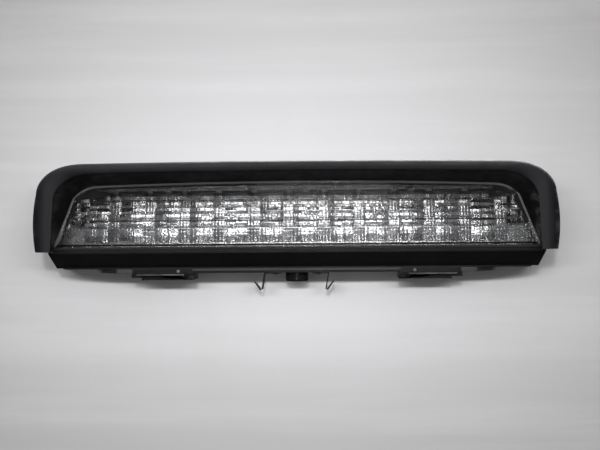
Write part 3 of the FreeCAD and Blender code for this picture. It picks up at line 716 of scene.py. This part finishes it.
def make_tiles(material):
    """The bright tiles in front of the staircase, column by column and row by row."""
    draw = random.Random(5)
    dim_from, dim_rows, dim_tilt, narrowest = 118.0, (1, 2), 0.9, 2.0
    builder = bmesh.new()
    for column in range(COLUMNS):
        left = FIRST_COLUMN + column * TILE + TILE_GAP
        right = FIRST_COLUMN + (column + 1) * TILE - TILE_GAP
        kind = (column + 2) % 3
        column_lean = draw.uniform(-0.45, 0.45)
        for row, (foot, top, depth) in enumerate(row_bounds()):
            shape = tile_shape(kind, draw, row)
            across, up = shape["tilt"]
            if kind != UNDER_LAMP and row in dim_rows and abs(left + TILE / 2) > dim_from:
                up += dim_tilt
            shape["tilt"] = (across + column_lean, up)
            limit = reflector_half(top, depth + TILE_BACK)
            start, end = max(left, -limit), min(right, limit)
            if end - start < narrowest:
                continue
            head = top - (0.45 if row < LAST_ROW else 0.6)
            corners = upright(start, end, foot + TILE_GAP, head, depth - 0.35)
            add_tile(builder, corners, depth + TILE_BACK, **shape)
    finished(object_from("reflector_tiles", builder, METAL_ANGLE), material)


def cheek_depth(x, z):
    """Depth of the reflector's curved cheek, which comes forward to the lens's slanted edge."""
    start = -11.8 + 12.6 * (z - 24.6) / 36.0
    inner = reflector_half(z, start) - 2.0
    outer = reflector_half(z, CHAMBER_FRONT)
    part = min(max((x - inner) / (outer - inner), 0.0), 1.0)
    return start - (start + 14.0) * math.sin(part * math.pi / 2) ** 1.6


def make_fans(material):
    """The ends of the reflector: wavy tiles whose rows slope down towards the lens's edge."""
    draw = random.Random(9)
    builder = bmesh.new()
    gap, spacing, rows, width, overlap = 0.09, 3.35, 13, 6.1, 3.0
    top, lowest, narrowest, steepening = 61.6, 24.2, 1.2, 0.032
    rise = spacing - 2 * gap
    for sign in (-1, 1):
        start = abs(FIRST_COLUMN) if sign < 0 else FIRST_COLUMN + COLUMNS * TILE
        marks = [start - overlap + width * i for i in range(6)]
        for near, far in zip(marks, marks[1:]):
            for row in range(rows):
                head = top - row * spacing
                slope = steepening * row
                near_drop, far_drop = slope * (near - start), slope * (far - start)
                limit = reflector_half(head - far_drop, CHAMBER_FRONT) - 0.6
                edge = min(far, limit)
                low_near, low_far = head - spacing - near_drop + gap, head - spacing - far_drop + gap
                if edge - near < narrowest or low_far < lowest:
                    continue
                share = (edge - near) / (far - near)
                low_edge = low_near + (low_far - low_near) * share
                depth = cheek_depth((near + edge) / 2, low_near + rise / 2) - 0.4
                left, right = sign * (near + gap), sign * (edge - gap)
                corners = [(left, depth, low_near), (right, depth, low_edge),
                           (right, depth, low_edge + rise), (left, depth, low_near + rise)]
                if sign < 0:
                    corners = [corners[1], corners[0], corners[3], corners[2]]
                tilt = (draw.uniform(-0.9, 0.9), draw.uniform(-0.5, 0.25))
                add_tile(builder, corners, depth + 5.0, swell=(0.34, 0.34), tilt=tilt, grid=10,
                         recede=0.35, ripple=0.05, waves=1.6)
    finished(object_from("reflector_fans", builder, METAL_ANGLE), material)


def make_sill(material):
    """The bright, finely broken ledge along the reflector's foot."""
    draw = random.Random(3)
    builder = bmesh.new()
    half, depth, step, gap, low, high = 164.0, -12.2, 2.05, 0.05, 23.1, 24.3
    for index in range(int(2 * half / step)):
        left = -half + index * step
        lift = draw.uniform(-0.12, 0.12)
        corners = upright(left + gap, left + step - gap, low, high + lift, depth)
        add_tile(builder, corners, depth + 1.0, swell=(0.12, 0.2), grid=4, recede=0.1,
                 tilt=(draw.uniform(-0.3, 0.3), 0.1 + 2 * lift))
    finished(object_from("reflector_sill", builder, METAL_ANGLE), material)


def make_fascia(material):
    """The finely faceted strip above the top row, in front of the board's edge."""
    draw = random.Random(21)
    builder = bmesh.new()
    edge = lens_arch(FRAME_INSET - 1.0)
    half, depth, width, gap = 138.0, -12.6, 2.05, 0.05
    rows, foot, rise, lowest_rise = 3, 61.9, 1.9, 0.8
    for index in range(int(2 * half / width)):
        left = -half + index * width
        top = min(contour_top(edge, left), contour_top(edge, left + width))
        for row in range(rows):
            low = foot + row * rise
            high = min(low + rise, top)
            if high - low < lowest_rise:
                continue
            corners = upright(left + gap, left + width - gap, low + gap, high - gap, depth)
            add_tile(builder, corners, depth + 1.0, swell=(0.10, 0.10), grid=4,
                     tilt=(draw.uniform(-0.35, 0.35), draw.uniform(-0.75, 0.05)))
    finished(object_from("reflector_fascia", builder, METAL_ANGLE), material)


# ---------------------------------------------------------------- feet and lamps

FLANGE_FRONT = -14.5
# The feet's front plates and lips, as loops of (depth behind the flange's front, height).
PLATE_SECTION = [(-0.5, 7.7), (-0.5, 4.3), (0.9, 4.3), (0.9, 7.7)]
LIP_SECTION = [(-1.4, 3.5), (-1.4, 3.2), (0.9, 3.2), (0.9, 4.1), (-0.8, 4.1)]
# The lamps' packages, from their tops down to the dish round the dome, as (half width, height).
PACKAGE_SECTION = [(1.6, 62.4), (1.6, 61.2), (1.45, 61.0), (1.15, 61.0), (1.0, 61.3)]
DOME_RADIUS, DOME_TOP, DOME_STEPS, DOME_SIDES = 1.05, 61.25, 6, 20


def make_foot_fronts(material):
    """The feet's fronts: a tall plate over the flange and a narrow lip with a slanted top."""
    for side, sign in (("left", -1), ("right", 1)):
        low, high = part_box("foot_" + side)
        builder = bmesh.new()
        inner, outer = sorted((abs(low.x) / MM, abs(high.x) / MM))
        bars = ((inner + 1.0, outer - 1.0, PLATE_SECTION), (inner + 7.0, outer - 4.0, LIP_SECTION))
        for near, far, section in bars:
            solid_faces(builder, [[builder.verts.new((sign * x * MM, (FLANGE_FRONT + back) * MM, z * MM))
                                   for back, z in section] for x in (near, far)])
        finished(object_from("foot_front_" + side, builder, 28.0), material)


def make_leds(package, dome):
    """White packages with a round clear dome that points down."""
    builder, domes = bmesh.new(), bmesh.new()
    low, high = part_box("leds")
    depth, under = (low.y + high.y) / 2 / MM, low.z / MM
    turns = [math.pi / 2 * j / DOME_STEPS for j in range(DOME_STEPS)]
    for index in range(LED_COUNT):
        x = LED_PLACE + (index - (LED_COUNT - 1) / 2) * LED_PITCH
        loops = []
        for half, z in PACKAGE_SECTION:
            corners = [(-half, -half), (half, -half), (half, half), (-half, half)]
            loops.append([builder.verts.new(((x + a) * MM, (depth + b) * MM, z * MM)) for a, b in corners])
        solid_faces(builder, loops)
        solid_faces(domes, [round_loop(domes, (x, depth), DOME_RADIUS * math.cos(turn),
                                       DOME_TOP - (DOME_TOP - under) * math.sin(turn), DOME_SIDES)
                            for turn in turns])
    finished(object_from("leds_shown", builder, 30.0), package, replaces=["leds"])
    finished(object_from("led_domes", domes, 40.0), dome)


# ---------------------------------------------------------------- stage, light and camera

CAMERA_REACH = 0.85
CAMERA_YAW = 1.7
CAMERA_ROLL = 0.45
VIEW_WIDTH = 0.4044
AIM = Vector((0.0037, HOOD_LOW.y, 0.0378))
SHEET_DEPTH, SHEET_SPAN = HOOD_HIGH.y + 0.0015, 1.6
FLOOR_LEVEL, FLOOR_SPAN = -0.45, 3.0
# Grey of the room by height, from straight below at 0 to straight overhead at 1, and where it's looked at.
ROOM_GREYS = [(0.0, 0.03), (0.46, 0.045), (0.55, 0.09), (0.68, 0.22), (1.0, 0.36)]
ROOM_SEEN = (0.62, 0.62, 0.63, 1.0)
# Name, place, aim, width and height, power in watts, lights matt surfaces, shows in glossy ones.
LIGHTS = [
    ("key", (0.0, -1.5, 0.37), (0.0, 0.0, 0.03), (0.09, 0.09), 6.3, True, False),
    ("window", (0.0, -1.5, 0.37), (0.0, 0.0, 0.03), (1.6, 0.08), 14.3, True, False),
    ("fill", (0.0, -1.3, 0.5), (0.0, 0.0, 0.03), (2.4, 1.6), 9.5, True, False),
    ("shine", (-0.02, -1.1, 0.62), (0.0, 0.0, 0.04), (0.36, 0.40), 1.45, False, True),
    ("front", (0.0, -1.6, 0.16), (0.0, 0.0, 0.04), (0.26, 0.44), 0.20, False, True),
    ("spark", (0.0, -1.45, -0.135), (0.0, 0.0, 0.0), (0.12, 0.06), 0.36, False, True),
    ("overhead", (0.0, -0.35, 1.2), (0.0, -0.02, 0.05), (0.9, 0.25), 3.0, False, True),
    ("back", (0.5, 1.3, 0.9), (0.0, 0.0, 0.04), (1.6, 1.0), 34.0, True, True),
]


def make_camera():
    camera = bpy.data.cameras.new("camera")
    camera.sensor_width = 36.0
    camera.lens = camera.sensor_width * CAMERA_REACH / VIEW_WIDTH
    camera.clip_start, camera.clip_end = 0.05, 20.0
    holder = bpy.data.objects.new("camera", camera)
    yaw = math.radians(CAMERA_YAW)
    holder.location = AIM + Vector((math.sin(yaw), -math.cos(yaw), 0.0)) * CAMERA_REACH
    holder.rotation_euler = (math.radians(90.0), math.radians(CAMERA_ROLL), yaw)
    bpy.context.scene.collection.objects.link(holder)
    bpy.context.scene.camera = holder
    bpy.context.scene.view_settings.view_transform = "Standard"


def area_light(name, place, aim, size, power, diffuse, glossy):
    light = bpy.data.lights.new(name, "AREA")
    light.shape = "RECTANGLE"
    light.size, light.size_y = size
    light.energy = power
    holder = bpy.data.objects.new(name, light)
    holder.location = place
    holder.rotation_euler = (Vector(aim) - Vector(place)).to_track_quat("-Z", "Y").to_euler()
    holder.visible_diffuse = diffuse
    holder.visible_glossy = glossy
    holder.visible_transmission = glossy
    bpy.context.scene.collection.objects.link(holder)


def plane(name, corners, material):
    """A flat stage piece that casts no shadow and shows only to the camera and through the lens."""
    mesh = bpy.data.meshes.new(name)
    mesh.from_pydata(corners, [], [tuple(range(len(corners)))])
    mesh.materials.append(material)
    piece = bpy.data.objects.new(name, mesh)
    bpy.context.scene.collection.objects.link(piece)
    piece.visible_shadow = False
    piece.visible_diffuse = False
    piece.visible_glossy = False


def sheet_material():
    """The pale sheet behind the lamp, with a painted pool of light: brightest in the middle, darker towards
    its edges and below; seen from the lamp's side only.
    """
    look = Material("pale_sheet", (0.80, 0.80, 0.81), 0.6, Specular_IOR_Level=0.3)
    centred = look.node("ShaderNodeMapping", Location=(0.010, 0.0, -0.024), Scale=(0.8, 0.0, 1.0))
    look.link(look.place, centred.inputs["Vector"])
    away = look.node("ShaderNodeVectorMath", operation="LENGTH")
    look.link(centred.outputs["Vector"], away.inputs[0])
    # Painted light: a pool of light in the middle that fades outwards and downwards.
    pale = look.mixed(look.ranged(away.outputs["Value"], 0.03, 0.24), (0.775, 0.775, 0.79),
                      (0.36, 0.36, 0.36))
    height = look.split(look.place)["Z"]
    pale = look.mixed(look.ranged(height, -0.015, -0.12, 0.0, 0.4), pale, (0.36, 0.36, 0.36))
    cloudy = look.ranged(look.noise(5.0, 3.0), 0.35, 0.7, 0.0, 0.10)
    streaked = look.ranged(look.noise(26.0, 5.0, 0.6, look.scaled(0.10, 1.0, 1.6)), 0.45, 0.72, 0.0, 0.13)
    streaked_tone = look.mixed(streaked, look.mixed(cloudy, pale, (0.5, 0.5, 0.52)), (0.92, 0.92, 0.94))
    smeared = look.ranged(look.noise(9.0, 7.0, 0.7, look.scaled(1.0, 1.0, 0.5)), 0.50, 0.75, 0.0, 0.12)
    worn = look.mixed(smeared, streaked_tone, (0.42, 0.40, 0.38))
    speck = look.ranged(look.cells(24.0), 0.036, 0.026)
    rare = look.ranged(look.noise(11.0, 2.0), 0.56, 0.60, 0.0, 0.85)
    look.color(look.mixed(look.times(speck, rare), worn, (0.10, 0.09, 0.08)))
    look.bump(look.noise(160.0, 4.0), 0.08, 0.0004)
    look.see_through(look.node("ShaderNodeNewGeometry").outputs["Backfacing"])
    return look.material


def make_world():
    """A dim room: dark below, bright overhead, and plain pale where it's looked at."""
    world = bpy.data.worlds.new("world")
    bpy.context.scene.world = world
    world.use_nodes = True
    tree = world.node_tree
    background = tree.nodes["Background"]
    place = tree.nodes.new("ShaderNodeTexCoord")
    split = tree.nodes.new("ShaderNodeSeparateXYZ")
    ramp = tree.nodes.new("ShaderNodeValToRGB")
    shift = tree.nodes.new("ShaderNodeMapRange")
    shift.inputs["From Min"].default_value = -1.0
    tree.links.new(place.outputs["Generated"], split.inputs[0])
    tree.links.new(split.outputs["Z"], shift.inputs["Value"])
    tree.links.new(shift.outputs["Result"], ramp.inputs["Fac"])
    elements = ramp.color_ramp.elements
    while len(elements) < len(ROOM_GREYS):
        elements.new(0.5)
    for element, (position, grey) in zip(elements, ROOM_GREYS):
        element.position = position
        element.color = (grey, grey, grey * 1.01, 1.0)
    seen = tree.nodes.new("ShaderNodeMix")
    seen.data_type = "RGBA"
    tree.links.new(tree.nodes.new("ShaderNodeLightPath").outputs["Is Camera Ray"], seen.inputs[0])
    tree.links.new(ramp.outputs["Color"], seen.inputs[6])
    seen.inputs[7].default_value = ROOM_SEEN
    tree.links.new(seen.outputs[2], background.inputs["Color"])
    background.inputs["Strength"].default_value = 1.0


def make_stage():
    span, low, reach = SHEET_SPAN, FLOOR_LEVEL, FLOOR_SPAN
    plane("sheet", [(-span, SHEET_DEPTH, low), (span, SHEET_DEPTH, low), (span, SHEET_DEPTH, span),
                    (-span, SHEET_DEPTH, span)], sheet_material())
    floor = Material("pale_floor", (0.30, 0.30, 0.305), 0.8)
    floor.bump(floor.noise(60.0), 0.05, 0.0005)
    plane("floor", [(-reach, -reach, low), (reach, -reach, low), (reach, reach, low), (-reach, reach, low)],
          floor.material)
    make_world()
    for settings in LIGHTS:
        area_light(*settings)


# ---------------------------------------------------------------- the lamp

def cad_look(node, material):
    """Give a CAD node that stays as it is a better material."""
    for slot in NODES[node].material_slots:
        slot.material = material


def shown(node, material, width, body=BODY):
    """A CAD node's copy with edges rounded to a width, which stands for the node."""
    finished(bevelled(node, width), material, body, [node])


make_camera()
make_stage()

base_plastic = base_plastic_look()
foot_plastic = foot_plastic_look()
metal = bright_metal("reflector_metal", (0.56, 0.56, 0.565), (0.90, 0.90, 0.90))
# A darker copy of the reflector metal for the fascia: painted shade over the top of the reflector.
shade_painted_metal = bright_metal("fascia_metal_painted_shade", (0.10, 0.095, 0.095), (0.30, 0.29, 0.29))
acrylic = clear_plastic()
spring = steel("spring_steel", (0.07, 0.067, 0.067), 0.30, (1.0, 0.12, 1.0))
screw = steel("screw_steel", (0.55, 0.53, 0.48), 0.32)

make_hood(hood_plastic())
make_lens_frame(acrylic)
make_lens_window(acrylic)
make_tiles(metal)
make_fans(metal)
make_sill(metal)
make_fascia(shade_painted_metal)
make_foot_fronts(foot_plastic)
cad_look("reflector", metal)
make_leds(small_part("led_package", (0.30, 0.30, 0.29), (0.38, 0.38, 0.36), 0.35), acrylic)
cad_look("lens_seal", seal_look())
cad_look("led_board", board_laminate())

shown("base_tray", base_plastic, 0.35)
shown("foot_left", foot_plastic, 0.25)
shown("foot_right", foot_plastic, 0.25)
shown("locating_boss",
      grained_plastic("boss_plastic", dark=(0.006, 0.0055, 0.006), light=(0.010, 0.0095, 0.010),
                      roughness=0.20, grain=1300.0, depth=0.00005, specular=0.5).material,
      0.35)
shown("foot_pins", steel("pin_steel", (0.92, 0.92, 0.92), 0.5), 0.2)
shown("housing", small_part("housing_plastic", (0.016, 0.016, 0.018), (0.024, 0.024, 0.026), 0.5),
      0.25)
shown("vent_cap", small_part("vent_plastic", (0.03, 0.03, 0.032), (0.05, 0.05, 0.052), 0.55),
      0.3)
for side in ("left", "right"):
    shown("clip_stem_" + side, spring, 0.12)
    shown("clip_barb_" + side, spring, 0.12, "barb_" + side)
shown("clip_rivets", screw, 0.1)
for node in ("board_screws", "hood_screws", "housing_screws", "boss_screw"):
    shown(node, screw, 0.1)
shown("connector_socket", small_part("connector_plastic", (0.55, 0.54, 0.50), (0.62, 0.61, 0.57), 0.42),
      0.25)
shown("terminal_blades", steel("terminal_brass", (0.78, 0.60, 0.30), 0.26), 0.12)
shown("resistors", small_part("component_black", (0.015, 0.015, 0.015), (0.03, 0.03, 0.03), 0.4),
      0.1)
shown("protection_diode", small_part("diode_black", (0.015, 0.015, 0.016), (0.028, 0.028, 0.03), 0.35),
      0.15)
shown("capacitor", small_part("component_tan", (0.42, 0.30, 0.16), (0.52, 0.38, 0.21), 0.4),
      0.12)
cad_look("board_leads", small_part("lead_insulation", (0.02, 0.02, 0.02), (0.035, 0.035, 0.035), 0.45))
